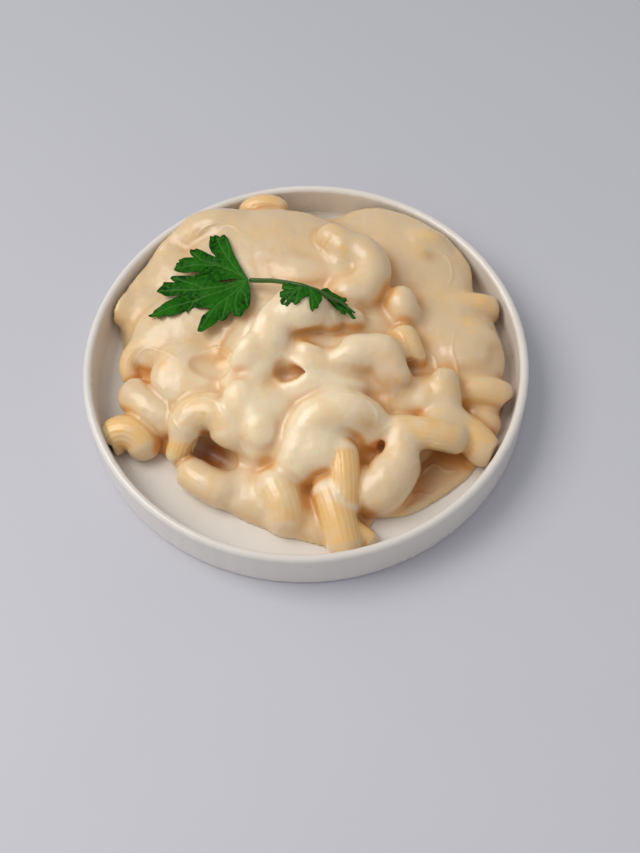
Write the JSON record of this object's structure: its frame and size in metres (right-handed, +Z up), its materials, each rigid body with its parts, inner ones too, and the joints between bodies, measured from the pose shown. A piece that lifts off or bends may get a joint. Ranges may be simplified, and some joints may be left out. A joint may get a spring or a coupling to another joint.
{
  "type": "mac and cheese",
  "caption": "Round low-walled dish filled with a heap of elbow pasta in cheese sauce, with a parsley sprig on top.",
  "frame": {"origin": "middle of the dish's flat underside, which is the bottom centre of the whole part", "axes": "+Z up out of the dish, the shortest extent; -Y is the front, where the dish's floor shows bare; the parsley's large leaf is at -X"},
  "size_m": [0.1804, 0.1804, 0.0496],
  "materials": {
    "stoneware": "warm white glaze, satin",
    "cheese_sauce": "smooth cream-coloured cheese sauce over pasta, softly shiny",
    "parsley": "fresh flat parsley, waxy"
  },
  "bodies": {
    "root": {"dish": "stoneware", "pasta_heap": "cheese_sauce", "parsley_sprig": "parsley"}
  },
  "joints": []
}
